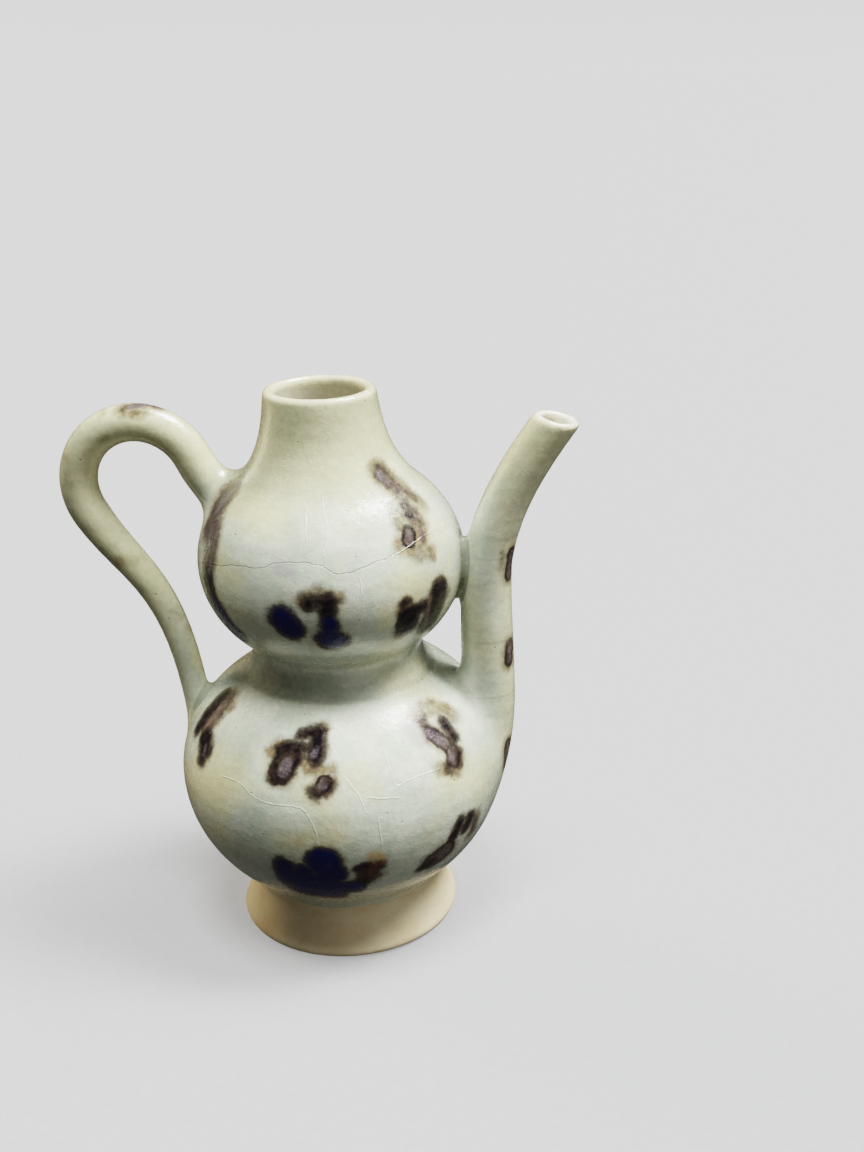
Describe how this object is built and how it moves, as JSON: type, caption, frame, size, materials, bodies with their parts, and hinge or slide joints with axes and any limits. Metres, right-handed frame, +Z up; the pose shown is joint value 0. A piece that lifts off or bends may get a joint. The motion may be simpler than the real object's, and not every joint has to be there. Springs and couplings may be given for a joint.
{
  "type": "double-gourd ewer",
  "caption": "Small hollow ceramic ewer in the form of a double gourd, with a curved spout, a looped handle and a splayed foot, glazed pale green-white with dark iron spots.",
  "frame": {"origin": "centre of the object's box on the surface it stands on, at the middle of its reach from handle to spout tip; the turning axis of the body stands 3.1 mm from it towards the spout", "axes": "+Z up from foot to mouth, +X from the handle towards the spout, +Y across both"},
  "size_m": [0.1128, 0.073, 0.125],
  "materials": {
    "glaze": "pale green-white glaze, softly glossy, cream where thin, with dark iron-brown spots, fine crackle and a bare matt foot ring"
  },
  "bodies": {
    "root": {"ewer": "glaze"}
  },
  "joints": []
}
